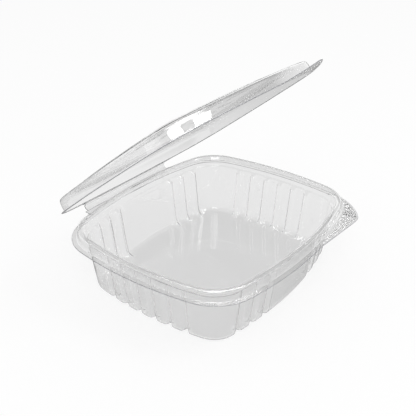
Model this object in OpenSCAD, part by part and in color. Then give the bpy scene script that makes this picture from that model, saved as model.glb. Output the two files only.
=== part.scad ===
// Clear hinged-lid deli container, thermoformed from one sheet: a fluted tub, a
// shallow domed lid and the half-round living hinge between them.
// Origin: centre of the floor's underside. X runs along the hinge, +Y is the hinge side.

/* [Rim outline] */
// Length of the mouth along the hinge, between the middles of the two ends
mouth_l = 162; // [130:1:200]
// Width of the mouth, between the middles of the front and the back
mouth_w = 137; // [110:1:170]
// How far the two ends bow out between the corners
end_bow = 9.9; // [4:0.1:14]
// How far the front and the back bow out between the corners
front_bow = 12.7; // [5:0.1:16]
// Radius of the mouth's corners
corner_r = 24; // [18:0.5:32]

/* [Sheet] */
// Thickness of the formed sheet
sheet_t = 0.5; // [0.3:0.05:0.8]

/* [Tub] */
// Height of the mouth's edge above the table
mouth_h = 43.5; // [30:0.5:70]
// How far the wall leans in between the shoulder and the floor
wall_lean = 4.6; // [3:0.1:9]
// Radius of the bend between the wall and the floor
floor_r = 3.5; // [2:0.5:8]
// Depth of the smooth band between the mouth's edge and the shoulder
band_h = 4.7; // [3:0.1:8]
// How far the fluted wall stands in from the band at the shoulder
shoulder_step = 1.1; // [0.5:0.1:2.5]

/* [Flutes] */
// Distance between the ribs of the fluted wall
rib_pitch = 12.4; // [11:0.1:14]
// Number of ribs between the grooves on each end
end_ribs = 5; // [3:1:5]
// Number of ribs beside each corner on the front and the back
corner_ribs = 2; // [1:1:2]
// Place of the first groove on the front and the back, from the middle
first_groove = 29.4; // [24:0.2:31]
// Depth of the grooves between the ribs
groove_depth = 2.2; // [0.8:0.1:3]
// Width of the grooves
groove_w = 6.6; // [4:0.2:8]
// Height over which the grooves run out below the shoulder
groove_runout = 5; // [3:0.5:9]

/* [Rim and flange] */
// Height of the rim's bead above the mouth's edge
bead_h = 2.5; // [1.5:0.1:4]
// Width of the bead
bead_w = 5.3; // [4:0.1:7]
// Depth of the flange below the mouth's edge
flange_drop = 4.6; // [3.5:0.1:6]
// Distance of the flange's outer edge from the mouth's edge
flange_reach = 8.9; // [8.5:0.1:12]

/* [Grip tabs] */
// Where the tab's front edge starts to leave the front flange, from the middle
tab_start = 17; // [5:1:30]
// Angle at which the tab's front edge leaves the front flange
tab_flare = 4.6; // [1:0.2:8]
// Radius of the tab's slanting edge, which bows out
tab_round = 50; // [44:1:70]
// Turn of the corner at which the tab's slanting edge meets the flange
tab_turn = 86; // [76:1:88]
// Rise of the lid's tab for each millimetre that it reaches past the flange
tab_lift = 0.3; // [0:0.05:0.5]

/* [Lid] */
// Height of the lid's side wall above its flange
lid_wall_h = 9.2; // [7.4:0.1:14]
// Height of the crown's middle above the lid's side wall
crown_h = 4.3; // [2:0.1:9]
// Distance from the mouth's edge in to the crown's bevel
bevel_inset = 11; // [8:0.5:18]
// Height of the crown's bevel
bevel_h = 1.1; // [0.4:0.1:2]
// Side clearance between the lid's wall and the bead
lid_gap = 0.6; // [0.3:0.05:0.9]
// Clearance between the two flanges, and over the bead, when the lid is shut
seat_gap = 0.3; // [0.2:0.05:0.5]
// How far the lid stands open
lid_open = 38.6; // [0:0.1:180]

/* [Living hinge] */
// Length of the hinge
hinge_l = 88; // [60:1:100]
// Width of the straight margin between the flange and the hinge
hinge_margin = 2.4; // [1.5:0.1:4]
// Distance from the margin's edge back to the line that the lid turns about
hinge_back = 7.1; // [6:0.1:9]
// How far the web bulges from its chord
web_bulge = 2; // [1:0.1:2.6]

/* [Hidden] */

clear_film = [0.90, 0.93, 0.95, 0.45];

half_l = mouth_l / 2;
half_w = mouth_w / 2;
shoulder_z = mouth_h - band_h;
flange_z = mouth_h - flange_drop;
crest_z = mouth_h + bead_h;
groove_half = groove_w / 2;

// The mouth's outline: four bowed sides, each one arc, and four corner arcs.
end_R = (half_w * half_w + end_bow * end_bow) / (2 * end_bow);
front_R = (half_l * half_l + front_bow * front_bow) / (2 * front_bow);
end_centre = [half_l - end_R, 0];
front_centre = [0, half_w - front_R];
corner_centre = circles_meet(end_centre, end_R - corner_r, front_centre, front_R - corner_r);
corner_from = atan2(corner_centre.y - end_centre.y, corner_centre.x - end_centre.x);
corner_to = atan2(corner_centre.y - front_centre.y, corner_centre.x - front_centre.x);
corner_steps = 9;

// Hinge line and lid heights, all worked out with the lid shut.
margin_y = half_w + flange_reach + hinge_margin;
hinge_y = margin_y + hinge_back;
hinge_sink = 0.8;
hinge_z = flange_z - hinge_sink;
lid_flange_z = flange_z + seat_gap + sheet_t;
lid_wall_top = lid_flange_z + lid_wall_h;
crown_z = lid_wall_top + crown_h;
lid_wall_w = bead_w + lid_gap + sheet_t;
lid_wall_lean = 0.4;
lid_edge_z = flange_z + seat_gap;
fold_r = norm([hinge_back, lid_edge_z - hinge_z]);
fold_angle = atan2(lid_edge_z - hinge_z, hinge_back) + lid_open;
web_gap = 0.35;
end_slant = 1.2;

function circles_meet(c1, d1, c2, d2) =
    let(gap = norm(c2 - c1), along = (c2 - c1) / gap, across = [-along.y, along.x],
        t = (d1 * d1 - d2 * d2 + gap * gap) / (2 * gap), h = sqrt(d1 * d1 - t * t),
        p = c1 + t * along + h * across, q = c1 + t * along - h * across)
    p.x + p.y > q.x + q.y ? p : q;

function sorted(v) = len(v) <= 1 ? v :
    let(pivot = v[floor(len(v) / 2)])
    concat(sorted([for (x = v) if (x < pivot) x]), [for (x = v) if (x == pivot) x],
           sorted([for (x = v) if (x > pivot) x]));

function unit(v) = v / norm(v);
function mirror_x(p) = [-p.x, p.y];
function mirror_y(p) = [p.x, -p.y];
function reversed(v) = [for (i = [len(v) - 1 : -1 : 0]) v[i]];

// Places of the grooves along an end and along the front or back.
end_grooves = [for (i = [0 : end_ribs]) (i - end_ribs / 2) * rib_pitch];
front_grooves = concat([for (i = [0 : corner_ribs]) -(first_groove + i * rib_pitch)],
                       [for (i = [0 : corner_ribs]) first_groove + i * rib_pitch]);

function groove_places(centres) =
    [for (c = centres) for (u = [-1, -0.7, -0.3, 0.3, 0.7, 1]) c + u * groove_half];
function groove_share(u) = u >= 1 ? 0 : 1 - pow(u, 4);
function groove_at(s, centres) = max([for (c = centres) groove_share(abs(s - c) / groove_half)]);

// A station is [point on the mouth's edge, outward direction, groove share].
function end_station(y, centres) =
    let(p = [end_centre.x + sqrt(end_R * end_R - y * y), y])
    [p, unit(p - end_centre), len(centres) == 0 ? 0 : groove_at(y, centres)];
function front_station(x, centres) =
    let(p = [x, front_centre.y + sqrt(front_R * front_R - x * x)])
    [p, unit(p - front_centre), len(centres) == 0 ? 0 : groove_at(x, centres)];
function corner_station(a) =
    [corner_centre + corner_r * [cos(a), sin(a)], [cos(a), sin(a)], 0];
corner = [for (i = [0 : corner_steps])
          corner_station(corner_from + (corner_to - corner_from) * i / corner_steps)];

// The whole outline, anticlockwise from the lower end of the +X end.
hinge_stops = [-hinge_l / 2 - end_slant, -hinge_l / 2, hinge_l / 2, hinge_l / 2 + end_slant];
function flip_x(s) = [mirror_x(s[0]), mirror_x(s[1]), s[2]];
function flip_y(s) = [mirror_y(s[0]), mirror_y(s[1]), s[2]];
function outline(ends, fronts, end_c, front_c) =
    let(e = [for (y = sorted(ends)) end_station(y, end_c)],
        f = [for (x = reversed(sorted(fronts))) front_station(x, front_c)])
    concat(e, corner, f, [for (s = reversed(corner)) flip_x(s)],
           [for (s = reversed(e)) flip_x(s)], [for (s = corner) flip_x(flip_y(s))],
           [for (s = reversed(f)) flip_y(s)], [for (s = reversed(corner)) flip_y(s)]);

ribbed = outline(groove_places(end_grooves),
                 concat(groove_places(front_grooves), [0], hinge_stops),
                 end_grooves, front_grooves);
smooth = outline([for (i = [-3 : 3]) i * half_w / 6],
                 concat([for (i = [-3 : 3]) i * half_l / 6.5], hinge_stops), [], []);

// Distance from the mouth's edge, along a station's direction, to a straight line or a circle.
function reach_line(s, p, n) = (n * p - n * s[0]) / (n * s[1]);
function reach_circle(s, centre, r) =
    let(away = s[0] - centre, along = away * s[1]) sqrt(along * along - away * away + r * r) - along;
function soft_min(a, b) = -ln(exp(-a) + exp(-b));
tab_front = [tab_start, -(half_w + flange_reach)];
tab_front_n = [-sin(tab_flare), -cos(tab_flare)];
tab_side_n = [sin(tab_turn), -cos(tab_turn)];
tab_side_centre = mirror_y(corner_centre) + tab_side_n * (corner_r + flange_reach - tab_round);
function turn_of(s) = atan2(s[1].x, -s[1].y);
function tab_reach(s) =
    s[0].x < 0 || s[0].y > 0 || turn_of(s) > tab_turn ? 0 :
    soft_min(reach_line(s, tab_front, tab_front_n), reach_circle(s, tab_side_centre, tab_round));
function edge_reach(s) =
    s[0].y > 0 && abs(s[0].x) <= hinge_l / 2 + 0.01 && s[1].y > 0.8
    ? reach_line(s, [0, margin_y], [0, 1])
    : max(flange_reach, tab_reach(s));

// A ring of points at one step of a profile: [distance out, height, groove share].
function ring(stations, step) =
    [for (s = stations)
     let(q = s[0] + s[1] * (step[0] - step[2] * groove_depth * s[2])) [q.x, q.y, step[1]]];
function edge_ring(stations, z, lift) =
    [for (s = stations)
     let(q = s[0] + s[1] * edge_reach(s), past = max(0, tab_reach(s) - flange_reach))
     [q.x, q.y, z + lift * past]];

// The same profile one sheet thickness to the right of its direction of travel.
function right_of(d) = [d.y, -d.x];
function sheet_side(profile) =
    [for (i = [0 : len(profile) - 1])
     let(p = [profile[i][0], profile[i][1]],
         before = i == 0 ? [1, 0] : unit(p - [profile[i - 1][0], profile[i - 1][1]]),
         after = i == len(profile) - 1 ? [1, 0]
                 : unit([profile[i + 1][0], profile[i + 1][1]] - p),
         bend = unit(right_of(before) + right_of(after)),
         q = p + bend * sheet_t / (bend * right_of(after)))
     [q.x, q.y, profile[i][2]]];

// One closed skin: rings in order, with a middle point at each end.
module skin(rings, first, last) {
    n = len(rings[0]);
    count = len(rings);
    points = concat([for (r = rings) for (p = r) p], [first, last]);
    bands = [for (r = [0 : count - 2]) for (i = [0 : n - 1])
             let(a = r * n + i, b = r * n + (i + 1) % n)
             each [[a, b, a + n], [b, b + n, a + n]]];
    start = [for (i = [0 : n - 1]) [count * n, (i + 1) % n, i]];
    end = [for (i = [0 : n - 1])
           [count * n + 1, (count - 1) * n + i, (count - 1) * n + (i + 1) % n]];
    polyhedron(points = points, faces = concat(start, bands, end), convexity = 10);
}

// Inner side of the tub's wall, then over the bead and down to the flange.
band_lean = 0.6;
wall_top = -shoulder_step - band_lean;
bend_w = wall_top - wall_lean - floor_r;
bead_foot = bead_w + 0.2;
flange_bend = 0.3;
tub_profile = concat(
    [for (a = [-90, -60, -30, 0])
     [bend_w + floor_r * cos(a), sheet_t + floor_r + floor_r * sin(a), 1]],
    [[wall_top - 0.2, shoulder_z - groove_runout, 1],
     [wall_top, shoulder_z - groove_runout * 0.35, 0.6],
     [wall_top + 0.1, shoulder_z - band_lean, 0],
     [-band_lean, shoulder_z, 0],
     [0, mouth_h, 0],
     [bead_w * 0.24, mouth_h + bead_h * 0.6, 0],
     [bead_w * 0.5, crest_z, 0],
     [bead_w * 0.76, crest_z - bead_h * 0.12, 0],
     [bead_w * 0.93, crest_z - bead_h * 0.7, 0],
     [bead_foot, flange_z + flange_bend, 0],
     [bead_foot + flange_bend, flange_z, 0]]);

module base() {
    under = sheet_side(tub_profile);
    rings = concat([for (s = tub_profile) ring(ribbed, s)],
                   [edge_ring(ribbed, flange_z, 0), edge_ring(ribbed, flange_z - sheet_t, 0)],
                   [for (s = reversed(under)) ring(ribbed, s)]);
    color(clear_film) skin(rings, [0, 0, sheet_t], [0, 0, 0]);
}

// Outer side of the lid, from its crown out and down to its flange.
bevel_run = 2.6;
shelf_rise = 0.9;
lid_bend = 0.4;
lid_profile = [
    [-bevel_inset - bevel_run, lid_wall_top + shelf_rise + bevel_h, 0],
    [-bevel_inset, lid_wall_top + shelf_rise, 0],
    [-3, lid_wall_top + 0.1, 0],
    [lid_wall_w - 2.8, lid_wall_top - 0.3, 0],
    [lid_wall_w - 1.1, lid_wall_top - 1, 0],
    [lid_wall_w - 0.1, lid_wall_top - 2.8, 0],
    [lid_wall_w + lid_wall_lean, lid_flange_z + lid_bend, 0],
    [lid_wall_w + lid_wall_lean + lid_bend, lid_flange_z, 0]];

// The crown: the bevel's upper edge drawn in towards the middle and lifted.
crown_shares = [0.25, 0.5, 0.75];
function crown_ring(share, top) =
    let(edge = ring(smooth, lid_profile[0]), edge_z = lid_profile[0][1])
    [for (p = edge) [p.x * share, p.y * share, edge_z + (top - edge_z) * (1 - share * share)]];

module lid_shut() {
    under = sheet_side(lid_profile);
    top_rings = [for (k = crown_shares) crown_ring(k, crown_z)];
    low_rings = [for (k = crown_shares) [for (p = crown_ring(k, crown_z)) p - [0, 0, sheet_t]]];
    rings = concat(top_rings, [for (s = lid_profile) ring(smooth, s)],
                   [for (z = [lid_flange_z, lid_flange_z - sheet_t]) edge_ring(smooth, z, tab_lift)],
                   [for (s = reversed(under)) ring(smooth, s)], reversed(low_rings));
    skin(rings, [0, 0, crown_z], [0, 0, crown_z - sheet_t]);
}

module lid() {
    color(clear_film)
        translate([0, hinge_y, hinge_z]) rotate([-lid_open, 0, 0])
            translate([0, -hinge_y, -hinge_z]) lid_shut();
}

// The web: a half-round strip from the tub's margin up to the lid's margin.
web_low = [margin_y, flange_z - sheet_t / 2];
web_end_r = fold_r - web_gap - sheet_t / 2;
web_turn = fold_angle - 2;
web_high = [hinge_y - web_end_r * cos(web_turn), hinge_z + web_end_r * sin(web_turn)];
web_steps = 12;
web_nudge = 0.01;
function web_middle(t) =
    let(chord = web_high - web_low, side = unit([chord.y, -chord.x]))
    web_low + chord * t + side * web_bulge * 4 * t * (1 - t);
function web_side(t) =
    let(d = web_middle(t + web_nudge) - web_middle(t - web_nudge)) unit([d.y, -d.x]);
web_shares = [for (i = [1 : web_steps]) i / web_steps];
web_outline = concat(
    [[margin_y, flange_z - sheet_t]],
    [for (t = web_shares) web_middle(t) + web_side(t) * sheet_t / 2],
    [for (t = reversed(web_shares)) web_middle(t) - web_side(t) * sheet_t / 2],
    [[margin_y, flange_z]]);

module hinge_web() {
    color(clear_film)
        translate([-hinge_l / 2, 0, 0]) rotate([90, 0, 90])
            linear_extrude(height = hinge_l) polygon(web_outline);
}

base();
hinge_web();
lid();
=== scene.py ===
# %% [markdown]
# # A clear hinged deli container
# The real object is one thin sheet of clear PET, warmed and drawn over a mould. The sheet makes a fluted
# tub with a half-round bead round its mouth, a flat flange with a grip tab, a living hinge along the back
# and a shallow domed lid. Everything in the picture comes from how such a sheet bends and mirrors light,
# so the shapes have to be smooth and have a true thickness. Each piece is a set of points worked out with
# numpy, in millimetres, and the tub and the lid are closed skins one sheet thick.

import bpy
import numpy as np
from mathutils import Matrix, Vector


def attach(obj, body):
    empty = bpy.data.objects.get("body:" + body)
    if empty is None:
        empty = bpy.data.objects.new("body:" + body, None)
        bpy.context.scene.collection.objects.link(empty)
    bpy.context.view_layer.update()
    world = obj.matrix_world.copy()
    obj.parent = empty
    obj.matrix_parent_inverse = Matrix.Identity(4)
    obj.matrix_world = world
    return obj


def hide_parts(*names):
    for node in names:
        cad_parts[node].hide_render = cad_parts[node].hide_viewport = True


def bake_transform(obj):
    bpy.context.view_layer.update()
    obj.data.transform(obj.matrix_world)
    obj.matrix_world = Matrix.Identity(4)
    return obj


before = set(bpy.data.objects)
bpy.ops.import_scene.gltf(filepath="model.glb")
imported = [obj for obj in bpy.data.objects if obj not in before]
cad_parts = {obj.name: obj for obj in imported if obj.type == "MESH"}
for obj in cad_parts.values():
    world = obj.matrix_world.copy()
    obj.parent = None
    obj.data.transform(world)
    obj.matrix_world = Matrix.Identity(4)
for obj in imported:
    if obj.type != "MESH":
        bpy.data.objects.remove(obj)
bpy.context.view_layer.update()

# %% [markdown]
# ## Small helpers
# Colours are written as sRGB hex, as a paint chart gives them, and turned to linear light by one
# function. Shader nodes are added by one function too, so that each finish reads as a short list of nodes.


# %% Colour, node and material helpers
def linear(hex_code):
    """Linear RGBA of an sRGB hex colour: c / 12.92 in the dark end, else ((c + 0.055) / 1.055) ** 2.4."""
    channels = [int(hex_code[i:i + 2], 16) / 255 for i in (1, 3, 5)]
    return (*[c / 12.92 if c <= 0.04045 else ((c + 0.055) / 1.055) ** 2.4 for c in channels], 1.0)


def add_node(tree, kind, inputs=None, links=None, **settings):
    """Adds one node: settings are its properties, inputs its socket values, links its sockets' sources."""
    node = tree.nodes.new(kind)
    for key, value in settings.items():
        setattr(node, key, value)
    for key, value in (inputs or {}).items():
        node.inputs[key].default_value = value
    for key, source in (links or {}).items():
        tree.links.new(source, node.inputs[key])
    return node


def bare_material(name):
    """A new material and its node tree, which has no nodes yet."""
    material = bpy.data.materials.new(name)
    material.use_nodes = True
    material.node_tree.nodes.clear()
    return material, material.node_tree


# %% [markdown]
# ## The mouth's outline
# Seen from above, the mouth is a rectangle whose four sides bow gently outwards and whose corners are
# round. It is made of eight circular arcs that run smoothly into each other, so a point on it is found
# from the distance walked along the outline: which arc that falls on, and how far round it. The direction
# outwards is the arc's own radius.

# %% The outline as eight arcs
MM = 0.001
MOUTH_LENGTH = 162.0
MOUTH_WIDTH = 137.0
END_BOW = 9.9
FRONT_BOW = 12.7
CORNER_RADIUS = 24.0

half_length = MOUTH_LENGTH / 2
half_width = MOUTH_WIDTH / 2
end_radius = (half_width ** 2 + END_BOW ** 2) / (2 * END_BOW)
front_radius = (half_length ** 2 + FRONT_BOW ** 2) / (2 * FRONT_BOW)
end_centre = np.array([half_length - end_radius, 0.0])
front_centre = np.array([0.0, half_width - front_radius])


def circles_meet(centre_1, reach_1, centre_2, reach_2):
    """The point at both reaches from the two centres, on the side of +X and +Y."""
    between = centre_2 - centre_1
    gap = np.linalg.norm(between)
    along = between / gap
    share = (reach_1 ** 2 - reach_2 ** 2 + gap ** 2) / (2 * gap)
    rise = np.sqrt(reach_1 ** 2 - share ** 2)
    across = np.array([-along[1], along[0]])
    found = [centre_1 + share * along + side * rise * across for side in (1, -1)]
    return max(found, key=lambda point: point.sum())


corner_centre = circles_meet(end_centre, end_radius - CORNER_RADIUS,
                             front_centre, front_radius - CORNER_RADIUS)
low_turn = np.arctan2(corner_centre[1] - end_centre[1], corner_centre[0] - end_centre[0])
high_turn = np.arctan2(corner_centre[1] - front_centre[1], corner_centre[0] - front_centre[0])
turns = np.array([-low_turn, low_turn, high_turn, np.pi - high_turn, np.pi - low_turn, np.pi + low_turn,
                  np.pi + high_turn, 2 * np.pi - high_turn, 2 * np.pi - low_turn])
# The signs of X and Y that put each arc's centre in its own quarter.
quarter = np.array([[1, 1], [1, 1], [1, 1], [-1, 1], [-1, 1], [-1, -1], [1, -1], [1, -1]])
arc_centres = quarter * np.array([end_centre, corner_centre, front_centre, corner_centre,
                                  end_centre, corner_centre, front_centre, corner_centre])
arc_radii = np.array([end_radius, CORNER_RADIUS, front_radius, CORNER_RADIUS] * 2)
arc_lengths = arc_radii * np.diff(turns)
arc_starts = np.concatenate([[0.0], np.cumsum(arc_lengths)])
END_ARCS, BACK_ARC, FRONT_ARC = (0, 4), 2, 6


def outline(distance):
    """Points, outward directions and arcs at distances along the outline. A point is its arc's centre plus
    the radius times the (cos, sin) of the turn."""
    arc = np.clip(np.searchsorted(arc_starts, distance, side="right") - 1, 0, len(arc_radii) - 1)
    turn = turns[arc] + (distance - arc_starts[arc]) / arc_radii[arc]
    outward = np.stack([np.cos(turn), np.sin(turn)], axis=1)
    return arc_centres[arc] + arc_radii[arc, None] * outward, outward, arc


print(f"outline {arc_starts[-1]:.1f} mm round, corner centre {corner_centre.round(2)}")

# %% [markdown]
# ## Stations round the rim
# A station is one place on the outline where every ring of a skin gets a point. They lie about 0.75 mm
# apart, close enough for the sides of the flutes, and some stand exactly at the ends of the hinge, where
# the flange steps out.

# %% The stations
STATION_STEP = 0.75
HINGE_HALF = 44.0
HINGE_SLANT = 1.2

hinge_x = np.array([HINGE_HALF + HINGE_SLANT, HINGE_HALF, -HINGE_HALF, -HINGE_HALF - HINGE_SLANT])
hinge_stops = arc_starts[BACK_ARC] + front_radius * (np.arccos(hinge_x / front_radius) - high_turn)
even = np.arange(0, arc_starts[-1] - STATION_STEP / 2, STATION_STEP)
even = even[np.abs(even[:, None] - hinge_stops).min(axis=1) > STATION_STEP / 4]
stations = np.sort(np.concatenate([even, hinge_stops]))
rim_points, rim_outward, rim_arc = outline(stations)
print(len(stations), "stations")

# %% [markdown]
# ## Flutes
# The tub's wall is stiffened by upright flutes: five ribs between six grooves on each end, and a pair of
# ribs between three grooves beside each corner on the front and the back. A groove presses the wall in by
# about 2 mm. Its section is a flat crest with sloping sides, so a smooth step of the distance from the
# groove's middle gives the share of the full depth.

# %% The groove's share of its depth at each station
GROOVE_PITCH = 12.4
GROOVE_DEPTH = 2.2
GROOVE_HALF = 3.5
GROOVE_SIDE = 0.7
END_GROOVE_COUNT = 6
FRONT_GROOVE_COUNT = 3
FRONT_FIRST = 29.4
FULL_DEPTH_SHARE = 0.99

end_grooves = (np.arange(END_GROOVE_COUNT) - (END_GROOVE_COUNT - 1) / 2) * GROOVE_PITCH
right_grooves = FRONT_FIRST + np.arange(FRONT_GROOVE_COUNT) * GROOVE_PITCH
front_grooves = np.concatenate([-right_grooves, right_grooves])


def smooth_step(value):
    """0 below 0, 1 above 1 and 3t^2 - 2t^3 between."""
    t = np.clip(value, 0, 1)
    return t * t * (3 - 2 * t)


def groove_share(place, centres):
    """1 on a groove's crest, 0 between grooves: a smooth step across each sloping side."""
    away = np.abs(place[:, None] - centres).min(axis=1) / GROOVE_HALF
    return smooth_step((1 - away) / GROOVE_SIDE)


on_end = np.isin(rim_arc, END_ARCS)
on_front = np.isin(rim_arc, (BACK_ARC, FRONT_ARC))
grooves = np.where(on_end, groove_share(rim_points[:, 1], end_grooves), 0.0)
grooves = np.where(on_front, groove_share(rim_points[:, 0], front_grooves), grooves)
print(f"{(grooves > FULL_DEPTH_SHARE).sum()} stations on groove crests")

# %% [markdown]
# ## The flange's outer edge
# The flange is a flat band of even width, with two exceptions. Along the hinge it widens to a straight
# margin. At one front corner it grows into the grip tab, whose front edge leaves the flange at a slight
# angle and whose slanting edge bows out in a wide arc and meets the corner again at its far end. The
# tab's reach is the lesser of the distances to that line and that arc, with the tip between them rounded
# by a soft minimum.

# %% Reach of the edge at each station
FLANGE_REACH = 8.9
HINGE_MARGIN = 2.4
TAB_START = 17.0
TAB_FLARE = np.radians(4.6)
TAB_ROUND = 50.0
TAB_TURN = np.radians(86)
TAB_SOFTNESS = 1.3
FAR_REACH = 50.0

margin_y = half_width + FLANGE_REACH + HINGE_MARGIN


def reach_line(through, normal):
    """Distance from each station, outwards, to the line through a point with that normal."""
    return (normal @ through - rim_points @ normal) / (rim_outward @ normal)


def reach_circle(centre, radius):
    """Distance from each station, outwards, to the far side of the circle."""
    away = rim_points - centre
    along = (away * rim_outward).sum(axis=1)
    return np.sqrt(along ** 2 - (away ** 2).sum(axis=1) + radius ** 2) - along


tab_front_normal = np.array([-np.sin(TAB_FLARE), -np.cos(TAB_FLARE)])
tab_side_normal = np.array([np.sin(TAB_TURN), -np.cos(TAB_TURN)])
tab_side_centre = corner_centre * [1, -1] + tab_side_normal * (CORNER_RADIUS + FLANGE_REACH - TAB_ROUND)
tab_front_reach = reach_line(np.array([TAB_START, -(half_width + FLANGE_REACH)]), tab_front_normal)
tab_side_reach = reach_circle(tab_side_centre, TAB_ROUND)
station_turn = np.arctan2(rim_outward[:, 0], -rim_outward[:, 1])
in_tab = (rim_points[:, 0] > 0) & (rim_points[:, 1] < 0) & (station_turn <= TAB_TURN)
near = np.clip(np.stack([tab_front_reach, tab_side_reach]), -FAR_REACH, FAR_REACH)
tab_reach = -TAB_SOFTNESS * np.log(np.exp(-near / TAB_SOFTNESS).sum(axis=0))
tab_reach = np.where(in_tab, tab_reach, 0.0)
past_flange = np.maximum(0, tab_reach - FLANGE_REACH)

margin_reach = reach_line(np.array([0.0, margin_y]), np.array([0.0, 1.0]))
margin_share = np.clip((HINGE_HALF + HINGE_SLANT - np.abs(rim_points[:, 0])) / HINGE_SLANT, 0, 1)
margin_share = np.where(rim_arc == BACK_ARC, margin_share, 0.0)
edge_reach = np.maximum(FLANGE_REACH, tab_reach) * (1 - margin_share) + margin_reach * margin_share
print(f"tab reaches {edge_reach.max():.1f} mm from the mouth")

# %% [markdown]
# ## Profiles
# The profile is the section through the sheet: how far out from the mouth's edge and how high, step by
# step from the floor to the flange. It is written as a few corner points, each with a radius, because a
# heated sheet never folds sharply, and one function cuts each corner with a curve. The tub has two
# profiles with the same number of steps: one through a rib, which ends in a tight round foot, and one
# through a groove, which sweeps into the floor higher up.

# %% Rounded profiles
SIDE_SHARE = 0.48


def rounded(corners, steps=5):
    """A polyline with its corners cut: each corner (out, up, radius) becomes a quadratic curve that leaves
    its two straight sides at the radius from the corner, or just short of the side's middle."""
    corners = np.array(corners, float)
    points = [corners[0, :2]]
    t = np.linspace(0, 1, steps)[:, None]
    for before, here, after in zip(corners[:-2], corners[1:-1], corners[2:]):
        corner, radius = here[:2], here[2]
        ends = []
        for side in (before[:2] - corner, after[:2] - corner):
            length = np.linalg.norm(side)
            ends.append(corner + side * (min(radius, SIDE_SHARE * length) / length))
        points.extend((1 - t) ** 2 * ends[0] + 2 * t * (1 - t) * corner + t ** 2 * ends[1])
    points.append(corners[-1, :2])
    return np.array(points)


SHEET = 0.5
MOUTH_HEIGHT = 43.5
BAND_HEIGHT = 4.7
SHOULDER_STEP = 1.1
BAND_LEAN = 0.6
WALL_LEAN = 4.6
FLOOR_EDGE = 12.0
FOOT_RADIUS = 3.4
GROOVE_FOOT_RADIUS = 9.0
GROOVE_TOP = 3.6
FLANGE_DROP = 4.6
BEAD_HEIGHT = 2.5
BEAD_WIDTH = 5.3
BEAD_TOE = 0.2
EDGE_RING = 0.12

# The bead's corners: share of its width, share of its height and radius.
BEAD_CORNERS = [(0.2, 0.72, 0.9), (0.5, 1.0, 1.1), (0.84, 0.8, 1.0), (0.96, 0.2, 0.8)]

shoulder_z = MOUTH_HEIGHT - BAND_HEIGHT
flange_z = MOUTH_HEIGHT - FLANGE_DROP
wall_top = -SHOULDER_STEP - BAND_LEAN
wall_foot = wall_top - WALL_LEAN
bead_foot = BEAD_WIDTH + BEAD_TOE

rim_corners = [(-BAND_LEAN, shoulder_z, 0.5), (-0.1, MOUTH_HEIGHT - 0.2, 0.5)]
rim_corners += [(BEAD_WIDTH * out, MOUTH_HEIGHT + BEAD_HEIGHT * up, radius)
                for out, up, radius in BEAD_CORNERS]
rim_corners += [(bead_foot, flange_z, 0.6), (bead_foot + 0.9, flange_z, 0.2)]


def tub_profile(inset, foot_radius):
    """The tub's section where the wall stands in by the inset: 0 through a rib, the groove's depth through
    a groove. Its corners are the floor, the foot, the groove's top and the wall's top, then the rim's."""
    return rounded([(wall_foot - FLOOR_EDGE, SHEET, 0),
                    (wall_foot - 0.1 - inset, SHEET, foot_radius),
                    (wall_top - 0.2 - inset, shoulder_z - GROOVE_TOP, 0.8),
                    (wall_top + 0.1, shoulder_z - 0.7, 0.6)] + rim_corners)


rib_profile = tub_profile(0.0, FOOT_RADIUS)
groove_profile = tub_profile(GROOVE_DEPTH, GROOVE_FOOT_RADIUS)
print(len(rib_profile), "steps in the tub's profile")

# %% [markdown]
# ## From grid to skin
# A grid holds rings of points, from the middle outwards. The other side of the sheet is the same grid
# moved by one sheet thickness against its normals, which are the cross products of its two directions.
# Both sides close in the middle with a fan of triangles and meet at the edge, so the skin is watertight,
# and glass needs that. The edge between them is rounded in four narrow faces.

# %% Mesh tools
CREASE_ANGLE = np.radians(50)
EDGE_TURNS = np.radians([45, 90, 135])


def grid_normals(grid):
    """Unit normals of a closed ring grid: the cross product of the steps outwards and round, pointing up."""
    out = np.gradient(grid, axis=0)
    around = np.roll(grid, -1, axis=1) - np.roll(grid, 1, axis=1)
    normal = np.cross(out, around)
    return normal / np.linalg.norm(normal, axis=2, keepdims=True)


def strip_quads(rows):
    """Quads between each row of point numbers and the next, round a closed ring."""
    after = np.roll(rows, -1, axis=1)
    return np.stack([rows[:-1], rows[1:], after[1:], after[:-1]], axis=-1).reshape(-1, 4)


def mesh_object(name, points, quads, triangles=None, smooth=True):
    """A mesh object from arrays of points in mm, quads and triangles."""
    triangles = np.zeros((0, 3), int) if triangles is None else triangles
    mesh = bpy.data.meshes.new(name)
    mesh.vertices.add(len(points))
    mesh.vertices.foreach_set("co", (points * MM).astype(np.float32).ravel())
    corners = np.concatenate([quads.ravel(), triangles.ravel()]).astype(np.int32)
    sizes = np.concatenate([np.full(len(quads), 4), np.full(len(triangles), 3)])
    starts = np.concatenate([[0], np.cumsum(sizes)[:-1]]).astype(np.int32)
    mesh.loops.add(len(corners))
    mesh.loops.foreach_set("vertex_index", corners)
    mesh.polygons.add(len(sizes))
    mesh.polygons.foreach_set("loop_start", starts)
    mesh.polygons.foreach_set("use_smooth", np.full(len(sizes), smooth))
    mesh.update(calc_edges=True)
    mesh.validate()
    mesh.set_sharp_from_angle(angle=CREASE_ANGLE)
    piece = bpy.data.objects.new(name, mesh)
    bpy.context.scene.collection.objects.link(piece)
    return piece


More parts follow.
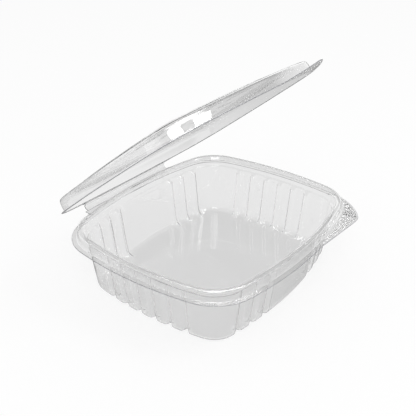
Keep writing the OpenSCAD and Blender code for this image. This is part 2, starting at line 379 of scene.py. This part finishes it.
def sheet_skin(name, upper, finishes, turn=None):
    """A closed skin: the upper grid, the lower one a sheet thickness below it, two fans and the edge
    between. Its finishes are the material of its two sides and that of its edge."""
    rings, count = upper.shape[:2]
    normals = grid_normals(upper)
    lower = upper - SHEET * normals
    outwards = upper[-1] - upper[-2]
    outwards = outwards / np.linalg.norm(outwards, axis=1, keepdims=True)
    edge_middle = (upper[-1] + lower[-1]) / 2
    down = EDGE_TURNS[:, None, None]
    trimmed = edge_middle + SHEET / 2 * (np.cos(down) * normals[-1] + np.sin(down) * outwards)
    pole = upper[0].mean(axis=0)
    points = np.concatenate([upper.reshape(-1, 3), lower.reshape(-1, 3), [pole, pole - [0, 0, SHEET]],
                             trimmed.reshape(-1, 3)])
    if turn is not None:
        points = turn(points)
    here = np.arange(rings * count).reshape(rings, count)
    below = here + rings * count
    pole_index = 2 * rings * count
    trim_rows = pole_index + 2 + np.arange(len(EDGE_TURNS) * count).reshape(-1, count)
    top = strip_quads(here)
    under = top[:, ::-1] + rings * count
    edge = strip_quads(np.concatenate([here[-1:], trim_rows, below[-1:]]))
    top_fan = np.stack([np.full(count, pole_index), here[0], np.roll(here[0], -1)], axis=-1)
    low_fan = np.stack([np.full(count, pole_index + 1), np.roll(below[0], -1), below[0]], axis=-1)
    piece = mesh_object(name, points, np.concatenate([top, under, edge]),
                        np.concatenate([top_fan, low_fan]))
    for finish in finishes:
        piece.data.materials.append(finish)
    place = np.arange(len(piece.data.polygons)) - len(top) - len(under)
    on_edge = (place >= 0) & (place < len(edge))
    piece.data.polygons.foreach_set("material_index", on_edge.astype(np.int32))
    return piece


def rings_from(profile, other_profile, share):
    """One ring for each profile step: the outline moved out and up, by the one profile where the share is
    0 and by the other where it is 1."""
    step = profile[:, None, :] + (other_profile - profile)[:, None, :] * share[:, None]
    return np.concatenate([rim_points + rim_outward * step[..., :1], step[..., 1:]], axis=2)


def flange_rings(inner_ring, height, lift, shares):
    """Rings from the profile's last ring out to the edge, lifted by the share of the tab past the flange.
    The last but one stands close to the edge, so that the flange is shaded flat up to it."""
    edge = rim_points + rim_outward * (edge_reach[:, None] - SHEET / 2)
    edge = np.concatenate([edge, (height + lift * past_flange)[:, None]], axis=1)
    step = edge - inner_ring
    close = 1 - EDGE_RING / np.linalg.norm(step, axis=1)
    outward_shares = [share * close for share in shares] + [np.ones_like(close)]
    return inner_ring + step * np.stack(outward_shares)[..., None]


# %% [markdown]
# ## The sheet
# The sheet is amorphous PET, the clear film that disposable trays and lids are drawn from: colourless, with
# an index of about 1.57 and a high gloss. Drawing it over a mould leaves faint waves 10 to 20 mm long,
# which bend its reflections a little. They are noise on Object coordinates through a bump, so they keep
# their real length. The base colour is pure white, because a sheet this thin shows no tint.

# %% Clear drawn PET
PET_INDEX = 1.57
WAVE_LENGTH = 14.0
WAVE_HEIGHT = 1.2
WAVE_STRENGTH = 0.05

pet_sheet, tree = bare_material("clear PET film, thermoformed")
place = add_node(tree, "ShaderNodeTexCoord")
wave = add_node(tree, "ShaderNodeTexNoise", inputs={"Scale": 1 / (WAVE_LENGTH * MM), "Detail": 1.0},
                links={"Vector": place.outputs["Object"]})
bump = add_node(tree, "ShaderNodeBump", inputs={"Strength": WAVE_STRENGTH, "Distance": WAVE_HEIGHT * MM},
                links={"Height": wave.outputs["Fac"]})
surface = add_node(tree, "ShaderNodeBsdfPrincipled",
                   inputs={"Base Color": linear("#FFFFFF"), "Metallic": 0.0, "Roughness": 0.0,
                           "IOR": PET_INDEX, "Transmission Weight": 1.0},
                   links={"Normal": bump.outputs["Normal"]})
add_node(tree, "ShaderNodeOutputMaterial", links={"Surface": surface.outputs["BSDF"]})

# %% [markdown]
# ## The trimmed edge
# The knife leaves the cut edge of the sheet matt. Its grey is painted shade: it stands in for the thin dark
# line that light bent in the clear edge shows round both flanges, painted a little uneven every 2 to 3 mm.

# %% Knife-trimmed edge, with painted shade
EDGE_SHADE_UNEVEN_LENGTH = 2.5
# The edge's colour runs from this dark grey to this light grey: painted shade for the dark line of the clear
# edge.
EDGE_SHADE_DARK = "#747478"
EDGE_SHADE_LIGHT = "#ABABAF"
EDGE_ROUGHNESS = 0.45

pet_edge_painted_shade, tree = bare_material("clear PET film, trimmed edge with painted shade")
place = add_node(tree, "ShaderNodeTexCoord")
edge_shade_noise = add_node(tree, "ShaderNodeTexNoise", inputs={"Scale": 1 / (EDGE_SHADE_UNEVEN_LENGTH * MM), "Detail": 2.0},
                links={"Vector": place.outputs["Object"]})
# Inputs 6 and 7 of a mix of colours are its two colours, and output 2 is the mixed one.
shade = add_node(tree, "ShaderNodeMix", data_type="RGBA",
                 inputs={6: linear(EDGE_SHADE_DARK), 7: linear(EDGE_SHADE_LIGHT)}, links={0: edge_shade_noise.outputs["Fac"]})
surface = add_node(tree, "ShaderNodeBsdfPrincipled", inputs={"Roughness": EDGE_ROUGHNESS, "IOR": PET_INDEX},
                   links={"Base Color": shade.outputs[2]})
add_node(tree, "ShaderNodeOutputMaterial", links={"Surface": surface.outputs["BSDF"]})

# %% [markdown]
# ## The tub
# The tub is the largest drawing of the sheet. Its grid starts with a few rings across the flat floor, then
# follows the profile up the wall, over the bead and down to the flange, and ends at the flange's edge.

# %% Tub
FLOOR_SHARES = np.array([0.05, 0.35, 0.7, 0.95])
FLANGE_SHARES = (0.4, 0.8, 1.0)

wall_rings = rings_from(rib_profile, groove_profile, grooves)
floor_rings = wall_rings[0] * FLOOR_SHARES[:, None, None]
floor_rings[..., 2] = SHEET
tub_flange = flange_rings(wall_rings[-1], flange_z, 0.0, FLANGE_SHARES)
tub = sheet_skin("tub", np.concatenate([floor_rings, wall_rings, tub_flange]), (pet_sheet, pet_edge_painted_shade))
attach(tub, "tub")
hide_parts("base")
print("tub:", len(tub.data.polygons), "faces")

# %% [markdown]
# ## The lid
# The lid is a shallow dome: a low side wall that clears the bead, a rounded shoulder, three fine
# stiffening steps and a bevel that frames the crown. It is worked out as if shut, where its outline is the
# tub's own, and then turned about the hinge line to where it stands open.

# %% Lid
LID_OPEN = np.radians(38.6)
SEAT_GAP = 0.3
LID_GAP = 0.6
LID_WALL_HEIGHT = 9.2
LID_WALL_LEAN = 0.4
LID_CURVE_STEPS = 4
BEVEL_INSET = 11.0
CROWN_HEIGHT = 4.3
TAB_LIFT = 0.3
HINGE_BACK = 7.1
HINGE_SINK = 0.8
CROWN_SHARES = np.array([0.05, 0.14, 0.24, 0.34, 0.44, 0.54, 0.64, 0.73, 0.81, 0.88, 0.93, 0.97])

# The bevel and the three steps: how far out from the bevel's foot, how far above the lid's top, and radius.
STEP_CORNERS = [(-2.6, 2.0, 0), (-2.2, 1.9, 0.5), (0, 0.85, 0.6), (3.0, 0.95, 0.3), (3.6, 0.25, 0.3),
                (5.7, 0.4, 0.3), (6.4, -0.25, 0.3), (9.0, -0.1, 0.3), (9.8, -0.75, 0.3)]
# The shoulder: how far out from the side wall, how far above the lid's top, and radius.
SHOULDER_CORNERS = [(-2.7, -0.6, 1.0), (-0.7, -1.5, 1.1), (-0.1, -3.3, 1.2)]

hinge_y = margin_y + HINGE_BACK
hinge_z = flange_z - HINGE_SINK
lid_flange_z = flange_z + SEAT_GAP + SHEET
lid_top = lid_flange_z + LID_WALL_HEIGHT
lid_wall = BEAD_WIDTH + LID_GAP + SHEET
lid_foot = lid_wall + LID_WALL_LEAN
lid_corners = [(out - BEVEL_INSET, lid_top + up, radius) for out, up, radius in STEP_CORNERS]
lid_corners += [(lid_wall + out, lid_top + up, radius) for out, up, radius in SHOULDER_CORNERS]
lid_corners += [(lid_foot, lid_flange_z, 0.7), (lid_foot + 0.8, lid_flange_z, 0.2)]
lid_profile = rounded(lid_corners, LID_CURVE_STEPS)


def turned(points, angle):
    """Points turned about the hinge line, which runs along X: positive lifts the lid's free edge."""
    y, z = points[..., 1] - hinge_y, points[..., 2] - hinge_z
    return np.stack([points[..., 0], hinge_y + y * np.cos(angle) + z * np.sin(angle),
                     hinge_z - y * np.sin(angle) + z * np.cos(angle)], axis=-1)


def opened(points):
    """Points of the shut lid, turned to where it stands open."""
    return turned(points, LID_OPEN)


lid_rings = rings_from(lid_profile, lid_profile, np.zeros(len(stations)))
crown_rings = lid_rings[0] * CROWN_SHARES[:, None, None]
crown_edge_z = lid_profile[0, 1]
crown_rise = lid_top + CROWN_HEIGHT - crown_edge_z
crown_rings[..., 2] = (crown_edge_z + crown_rise * (1 - CROWN_SHARES ** 2))[:, None]
lid_flange = flange_rings(lid_rings[-1], lid_flange_z, TAB_LIFT, FLANGE_SHARES)
lid_grid = np.concatenate([crown_rings, lid_rings, lid_flange])
lid = sheet_skin("lid_shell", lid_grid, (pet_sheet, pet_edge_painted_shade), opened)
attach(lid, "lid")
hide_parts("lid")
print("lid:", len(lid.data.polygons), "faces")

# %% [markdown]
# ## The living hinge
# Between the two margins the sheet is drawn into a half-round strip with three faint creases. It folds
# along both of its edges and bends in between, so it has no single axis. It is a curved section carried
# along X, bulging out from the tub's margin to the edge of the open lid.

# %% Hinge strip
WEB_BULGE = 2.0
WEB_CREASE = 0.5
WEB_CREASES = 3
WEB_STEPS = 36
WEB_COLUMNS = 45
WEB_GAP = 0.06
WEB_RISE = np.radians(0.5)

lid_edge_z = flange_z + SEAT_GAP
fold_radius = np.hypot(HINGE_BACK, lid_edge_z - hinge_z)
fold_turn = np.arctan2(lid_edge_z - hinge_z, HINGE_BACK) + LID_OPEN + WEB_RISE
web_radius = fold_radius - WEB_GAP
web_low = np.array([margin_y, flange_z - SHEET / 2])
web_high = np.array([hinge_y - web_radius * np.cos(fold_turn), hinge_z + web_radius * np.sin(fold_turn)])
t = np.linspace(0, 1, WEB_STEPS)[:, None]
chord = web_high - web_low
side = np.array([chord[1], -chord[0]]) / np.linalg.norm(chord)
web_creases = WEB_CREASE * np.sin(WEB_CREASES * np.pi * t) ** 2 * np.sin(np.pi * t)
web_middle = web_low + chord * t + side * (WEB_BULGE * 4 * t * (1 - t) - web_creases)
slope = np.gradient(web_middle, axis=0)
web_side = np.stack([slope[:, 1], -slope[:, 0]], axis=1) / np.linalg.norm(slope, axis=1, keepdims=True)
web_loop = np.concatenate([web_middle + web_side * SHEET / 2, (web_middle - web_side * SHEET / 2)[::-1]])
web_x = np.linspace(-HINGE_HALF, HINGE_HALF, WEB_COLUMNS)
web_shape = (WEB_COLUMNS, 2 * WEB_STEPS)
web_points = np.concatenate([np.broadcast_to(web_x[:, None, None], (*web_shape, 1)),
                             np.broadcast_to(web_loop, (*web_shape, 2))], axis=2).reshape(-1, 3)
web_index = np.arange(WEB_COLUMNS * 2 * WEB_STEPS).reshape(web_shape)
web_quads = strip_quads(web_index)[:, ::-1]
left_front, left_back = web_index[0, :WEB_STEPS], web_index[0, :WEB_STEPS - 1:-1]
left_end = np.stack([left_front[:-1], left_back[:-1], left_back[1:], left_front[1:]], axis=-1)
right_end = left_end[:, ::-1] + web_index[-1, 0]
web = mesh_object("hinge_strip", web_points, np.concatenate([web_quads, left_end, right_end]))
web.data.materials.append(pet_sheet)
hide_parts("hinge_web")
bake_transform(web)
print("hinge strip:", len(web.data.polygons), "faces")

# %% [markdown]
# ## Grip dots
# The tabs and the flange at the other front corner are embossed with rows of small round dots, so that
# wet fingers can pull them apart. A dot is a low dome 1.7 mm across, and the dots stand 2 mm apart in
# rows that follow the edge. On the tub they are lower where the shut lid's flange lies close over them.

# %% Dots
DOT_PITCH = 2.0
DOT_FIRST = 2.2
DOT_ROWS = 6
DOT_PROFILE = np.array([(0.85, 0.0), (0.72, 0.24), (0.5, 0.42), (0.0, 0.5)])
DOT_SIDES = 8
DOT_LIFT = 0.01
# The tab has dots where it reaches this far past the flange, down to this distance from the bead's foot.
TAB_LEAST = 0.3
BEAD_CLEARANCE = 1.2
# The other front corner has dots from the one X to the other, the first row this far in from the edge.
CORNER_PATCH = (-77.0, -52.0)
CORNER_INSET = 0.9
CORNER_ROWS = 2
CORNER_ROW_PITCH = 1.6
# The tub's dots take up these shares of the gap under the lid's flange and of the rise of the lid's tab.
GAP_SHARE = 0.6
RISE_SHARE = 0.7


def dome_template():
    """Points, quads and triangles of one low dome with a flat underside: its profile turned about Z."""
    around = np.arange(DOT_SIDES) * 2 * np.pi / DOT_SIDES
    radius, up = DOT_PROFILE[:-1, 0, None], DOT_PROFILE[:-1, 1, None]
    rings = np.stack([radius * np.cos(around), radius * np.sin(around), up + 0 * around], axis=-1)
    points = np.concatenate([rings.reshape(-1, 3), [[0, 0, DOT_PROFILE[-1, 1]], [0, 0, 0]]])
    index = np.arange(len(rings) * DOT_SIDES).reshape(len(rings), DOT_SIDES)
    after = np.roll(index, -1, axis=1)
    quads = np.stack([index[:-1], after[:-1], after[1:], index[1:]], axis=-1).reshape(-1, 4)
    top = np.stack([index[-1], after[-1], np.full(DOT_SIDES, index.size)], axis=-1)
    low = np.stack([after[0], index[0], np.full(DOT_SIDES, index.size + 1)], axis=-1)
    return points, quads, np.concatenate([top, low])


def dot_places():
    """Places of the dots: every pitch along the edge, in rows, on the tab and on the flange of the other
    front corner, wherever the flange is wide enough. The third number is how far the lid's tab has risen
    there, and the fourth is the distance from the mouth."""
    edge = rim_points + rim_outward * edge_reach[:, None]
    walked = np.concatenate([[0], np.cumsum(np.linalg.norm(np.diff(edge, axis=0), axis=1))])
    found = []
    for row in range(DOT_ROWS):
        inset = DOT_FIRST + row * DOT_PITCH
        along = np.arange(0.5 * DOT_PITCH * (row % 2), walked[-1], DOT_PITCH)
        low = np.interp(along, walked, np.arange(len(walked))).astype(int)
        tab_room = edge_reach[low] - inset
        on_tab = (past_flange[low] > TAB_LEAST) & (tab_room > bead_foot + BEAD_CLEARANCE)
        x, y = rim_points[low].T
        on_corner = (x > CORNER_PATCH[0]) & (x < CORNER_PATCH[1]) & (y < 0) & (row < CORNER_ROWS)
        reach = np.where(on_tab, tab_room, FLANGE_REACH - CORNER_INSET - row * CORNER_ROW_PITCH)
        base = rim_points[low] + rim_outward[low] * reach[:, None]
        share = (reach - lid_flange_start) / (edge_reach[low] - SHEET / 2 - lid_flange_start)
        rise = TAB_LIFT * past_flange[low] * np.clip(share, 0, 1)
        found.append(np.column_stack([base, rise, reach])[on_tab | on_corner])
    return np.concatenate(found)


def dots_object(name, centres, flatter, turn=None):
    """The dots of one flange as one mesh, each at its centre and with its height times its flattening."""
    points, quads, triangles = dome_template()
    shape = np.stack([np.ones_like(flatter), np.ones_like(flatter), flatter], axis=1)
    every = (centres[:, None, :] + points[None] * shape[:, None, :]).reshape(-1, 3)
    if turn is not None:
        every = turn(every)
    shift = (np.arange(len(centres)) * len(points))[:, None, None]
    dots = mesh_object(name, every, (quads[None] + shift).reshape(-1, 4),
                       (triangles[None] + shift).reshape(-1, 3))
    dots.data.materials.append(pet_sheet)
    return dots


lid_flange_start = lid_profile[-1, 0]
places = dot_places()
room = GAP_SHARE * SEAT_GAP + RISE_SHARE * places[:, 2]
tub_centres = np.column_stack([places[:, :2], np.full(len(places), flange_z + DOT_LIFT)])
tub_dots = dots_object("tub_grip_dots", tub_centres, np.minimum(1, room / DOT_PROFILE[-1, 1]))
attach(tub_dots, "tub")
on_lid = places[places[:, 3] > lid_flange_start + DOT_PROFILE[0, 0]]
lid_centres = np.column_stack([on_lid[:, :2], lid_flange_z + DOT_LIFT + on_lid[:, 2]])
lid_dots = dots_object("lid_grip_dots", lid_centres, np.ones(len(on_lid)), opened)
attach(lid_dots, "lid")
print(len(places), "dots on the tub,", len(on_lid), "on the lid")

# %% [markdown]
# ## Studio
# The photograph is a product shot on pure white. Clear plastic shows only by what it mirrors and by the
# light it turns aside, so the floor and the backdrop have a level of their own for each kind of ray. Seen
# directly, both are white. Seen through the sheet, the floor is a light grey that darkens away from the
# tub, and the backdrop darkens upwards. In a mirrored ray the floor is dark, the walls of the studio are
# bright up to about 20 degrees, the air above them is dark, and a bright panel overhead gives the white
# highlights. The floor keeps a faint shadow.

# %% Floor, backdrop and lamps
FLOOR_HALF = 6000.0
FLOOR_Z = -0.3
TUB_MIDDLE = Vector((0, 0, 0.03))
FLOOR_MIRRORED = 0.25
SKY_LIGHTING = 0.75

# How much of the floor is glow, by way of the sheet and seen directly. The rest is lit paper, which takes
# the shadow.
GLOW_BY_SHEET = 0.9
GLOW_DIRECT = 0.85

# Smooth steps: where each starts and ends, and its level at the start and the end. The floor's goes by
# metres from the middle, and the others by the sine of the angle above the horizon.
FLOOR_PASSED = (0.12, 0.45, 0.82, 0.58)
SKY_PASSED = (0.1, 0.6, 0.8, 0.1)
SIDES_MIRRORED = (0.36, 0.5, 1.6, 0.1)
PANEL_MIRRORED = (0.82, 0.87, 0.0, 9.0)


def by_ray(tree, lighting, mirrored, passed, direct):
    """A strength for each kind of ray: lighting others, mirrored in a surface, passed through the sheet or
    direct. Each is a number or the output of a node, and the later ones go over the earlier ones."""
    path = add_node(tree, "ShaderNodeLightPath")
    level = lighting
    kinds = (("Is Glossy Ray", mirrored), ("Is Transmission Ray", passed), ("Is Camera Ray", direct))
    for ray, value in kinds:
        given = {"A": level, "B": value}
        numbers = {key: number for key, number in given.items() if isinstance(number, float)}
        sockets = {key: source for key, source in given.items() if not isinstance(source, float)}
        mix = add_node(tree, "ShaderNodeMix", data_type="FLOAT", inputs=numbers,
                       links={"Factor": path.outputs[ray], **sockets})
        level = mix.outputs["Result"]
    return level


def smooth_levels(tree, value, steps):
    """The level of each smooth step at a value, as a list of outputs."""
    levels = []
    for step in steps:
        spans = dict(zip(("From Min", "From Max", "To Min", "To Max"), step))
        node = add_node(tree, "ShaderNodeMapRange", inputs=spans, links={"Value": value},
                        interpolation_type="SMOOTHSTEP")
        levels.append(node.outputs["Result"])
    return levels


floor_points = np.array([[-1, -1, 0], [1, -1, 0], [1, 1, 0], [-1, 1, 0]]) * FLOOR_HALF + [0, 0, FLOOR_Z]
floor = mesh_object("floor", floor_points, np.array([[0, 1, 2, 3]]), smooth=False)

floor_paint, tree = bare_material("matt white paper")
place = add_node(tree, "ShaderNodeTexCoord")
away = add_node(tree, "ShaderNodeVectorMath", operation="LENGTH", links={0: place.outputs["Object"]})
paper = add_node(tree, "ShaderNodeBsdfDiffuse", inputs={"Color": linear("#F4F4F4")})
[floor_passed] = smooth_levels(tree, away.outputs["Value"], [FLOOR_PASSED])
glow = add_node(tree, "ShaderNodeEmission", inputs={"Color": linear("#FFFFFF")},
                links={"Strength": by_ray(tree, 0.0, FLOOR_MIRRORED, floor_passed, 1.0)})
glow_share = by_ray(tree, 0.0, GLOW_BY_SHEET, GLOW_BY_SHEET, GLOW_DIRECT)
mixed = add_node(tree, "ShaderNodeMixShader",
                 links={0: glow_share, 1: paper.outputs["BSDF"], 2: glow.outputs["Emission"]})
add_node(tree, "ShaderNodeOutputMaterial", links={"Surface": mixed.outputs["Shader"]})
floor.data.materials.append(floor_paint)

world = bpy.data.worlds.new("studio")
bpy.context.scene.world = world
world.use_nodes = True
tree = world.node_tree
tree.nodes.clear()
direction = add_node(tree, "ShaderNodeTexCoord")
parts = add_node(tree, "ShaderNodeSeparateXYZ", links={0: direction.outputs["Generated"]})
sky_steps = [SKY_PASSED, SIDES_MIRRORED, PANEL_MIRRORED]
sky, sides, panel = smooth_levels(tree, parts.outputs["Z"], sky_steps)
mirrored = add_node(tree, "ShaderNodeMath", operation="ADD", links={0: sides, 1: panel})
backdrop = add_node(tree, "ShaderNodeBackground", inputs={"Color": linear("#FFFFFF")},
                    links={"Strength": by_ray(tree, SKY_LIGHTING, mirrored.outputs[0], sky, 1.0)})
add_node(tree, "ShaderNodeOutputWorld", links={"Surface": backdrop.outputs["Background"]})


def softbox(name, place, width, height, watts):
    """A rectangular lamp at a place in metres, turned to face the tub."""
    lamp = bpy.data.lights.new(name, "AREA")
    lamp.shape, lamp.size, lamp.size_y, lamp.energy = "RECTANGLE", width, height, watts
    box = bpy.data.objects.new(name, lamp)
    box.location = place
    box.rotation_euler = (TUB_MIDDLE - Vector(place)).to_track_quat("-Z", "Y").to_euler()
    box.visible_camera = False
    bpy.context.scene.collection.objects.link(box)


softbox("key_softbox", (-0.75, -0.55, 1.0), 0.6, 0.6, 5.0)
softbox("front_softbox", (0.42, -0.8, 1.05), 0.35, 0.6, 3.5)

# %% [markdown]
# ## Camera
# The camera was fitted to the outlines of the mouth, the flange, the floor and the lid in the photograph.
# It looks down at 29 degrees from the corner between the front and the left end, with a lens of about
# 56 mm on a 36 mm sensor.

# %% Camera
CAMERA_AZIMUTH = np.radians(-53.794)
CAMERA_ELEVATION = np.radians(28.955)
CAMERA_ROLL = np.radians(0.32)
CAMERA_DISTANCE = 457.6
CAMERA_TARGET = np.array([3.4, 8.3, MOUTH_HEIGHT])
LENS = 56.08
SENSOR = 36.0

toward = np.array([np.sin(CAMERA_AZIMUTH) * np.cos(CAMERA_ELEVATION),
                   -np.cos(CAMERA_AZIMUTH) * np.cos(CAMERA_ELEVATION), np.sin(CAMERA_ELEVATION)])
right = np.array([np.cos(CAMERA_AZIMUTH), np.sin(CAMERA_AZIMUTH), 0.0])
up = np.cross(toward, right)
camera_x = np.cos(CAMERA_ROLL) * right + np.sin(CAMERA_ROLL) * up
camera_y = np.cos(CAMERA_ROLL) * up - np.sin(CAMERA_ROLL) * right
place = (CAMERA_TARGET + CAMERA_DISTANCE * toward) * MM
camera_data = bpy.data.cameras.new("camera")
camera_data.lens = LENS
camera_data.sensor_width = SENSOR
camera_data.clip_start = 0.01
camera = bpy.data.objects.new("camera", camera_data)
rows = [[camera_x[i], camera_y[i], toward[i], place[i]] for i in range(3)]
camera.matrix_world = Matrix(rows + [[0, 0, 0, 1]])
bpy.context.scene.collection.objects.link(camera)
bpy.context.scene.camera = camera
bpy.context.scene.view_settings.view_transform = "Standard"
# Light meets many faces of the clear sheet, and paths of the usual length end early and leave black specks.
bpy.context.scene.cycles.max_bounces = 40
bpy.context.scene.cycles.glossy_bounces = 32
bpy.context.scene.cycles.transmission_bounces = 40
print("camera at", place.round(3))

# %% The end
bpy.context.view_layer.update()
